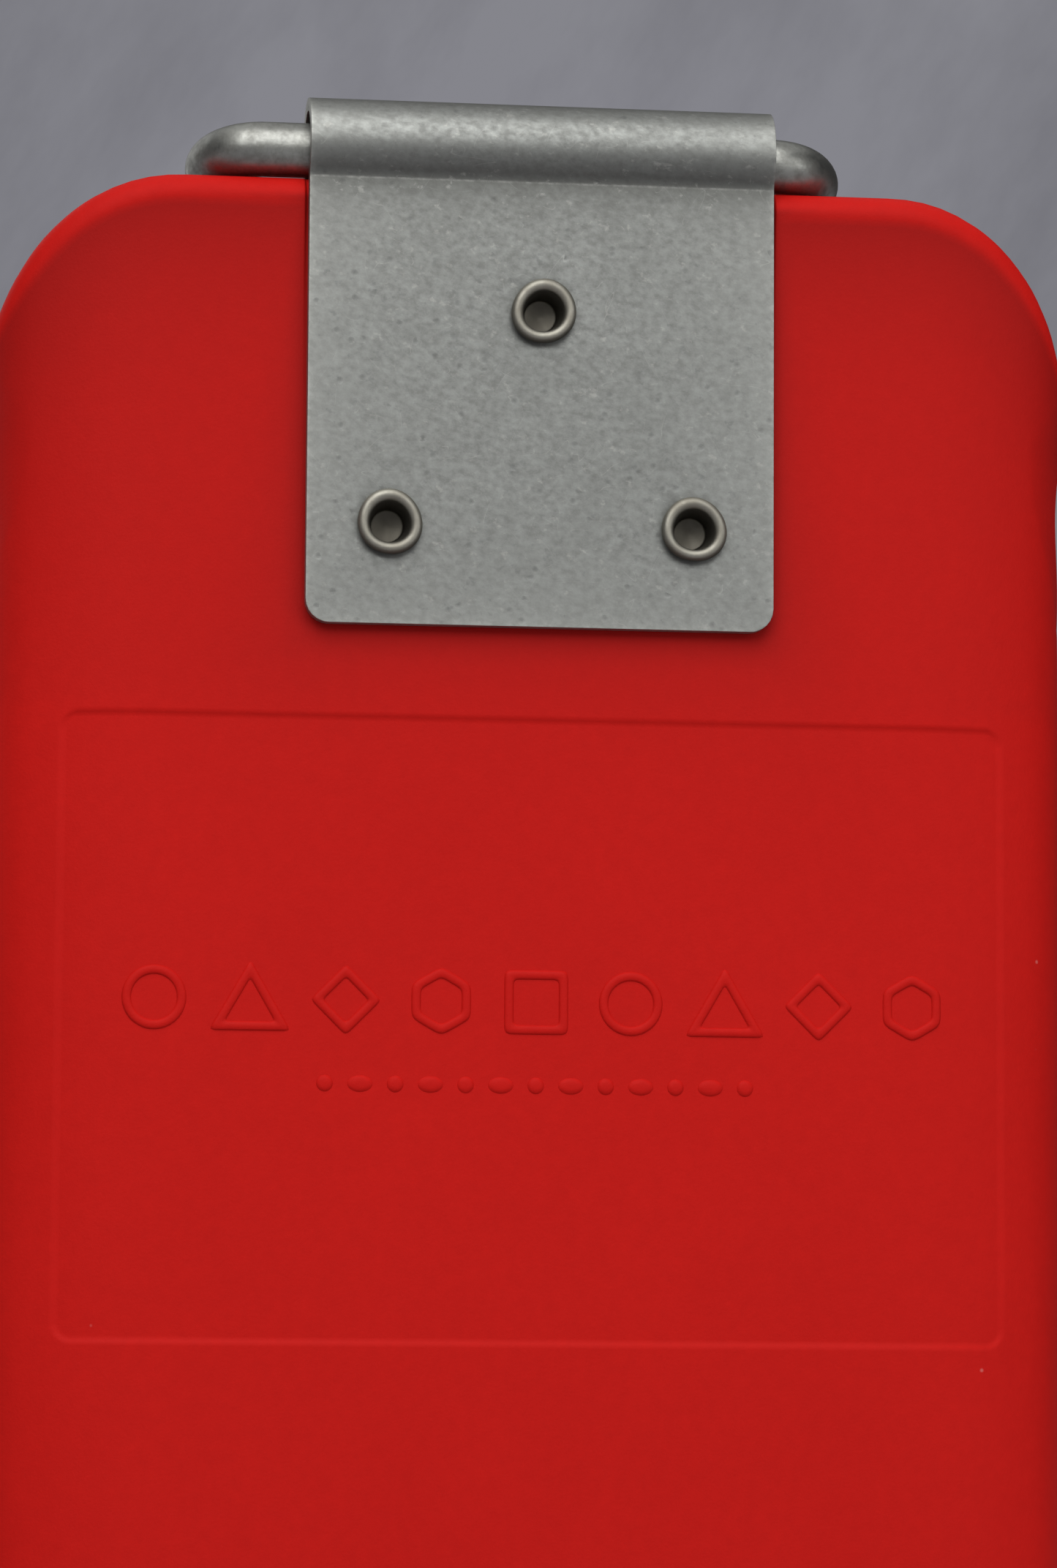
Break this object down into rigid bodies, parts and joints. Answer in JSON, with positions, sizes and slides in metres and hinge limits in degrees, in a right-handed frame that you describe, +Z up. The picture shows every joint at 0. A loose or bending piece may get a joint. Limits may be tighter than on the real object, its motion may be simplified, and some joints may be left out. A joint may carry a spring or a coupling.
{
  "type": "toddler bucket swing",
  "caption": "Moulded full-bucket swing seat with leg openings, a folded steel hanger clip riveted to each side wall, and a triangular dee ring that swings in each clip.",
  "frame": {"origin": "on the ground under the middle of the bucket", "axes": "+Z up; X runs across the bucket from clip to clip; the child faces -Y, where the leg openings are"},
  "size_m": [0.2906, 0.2, 0.3151],
  "materials": {
    "red_rubber": "moulded, fine grain, satin",
    "zinc_plate": "zinc plated sheet, dull and lightly scratched",
    "zinc_bar": "zinc plated bar, satin",
    "rivet_steel": "plated, rolled end burnished",
    "spring_steel": "plain spring steel, moulded in"
  },
  "bodies": {
    "seat": {"seat_shell": "red_rubber", "steel_insert": "spring_steel", "right_hanger_clip": "zinc_plate", "left_hanger_clip": "zinc_plate", "right_rivet_top": "rivet_steel", "right_rivet_front": "rivet_steel", "right_rivet_back": "rivet_steel", "left_rivet_top": "rivet_steel", "left_rivet_front": "rivet_steel", "left_rivet_back": "rivet_steel"},
    "right_dee": {"right_dee_ring": "zinc_bar"},
    "left_dee": {"left_dee_ring": "zinc_bar"}
  },
  "joints": [
    {"name": "right_dee_swing", "type": "hinge", "parent": "seat", "child": "right_dee", "pos_m": [0.1365, 0, 0.3054], "axis": [0, 1, 0], "range_deg": [0, 204.3]},
    {"name": "left_dee_swing", "type": "hinge", "parent": "seat", "child": "left_dee", "pos_m": [-0.1365, 0, 0.3054], "axis": [0, -1, 0], "range_deg": [0, 204.3]}
  ]
}
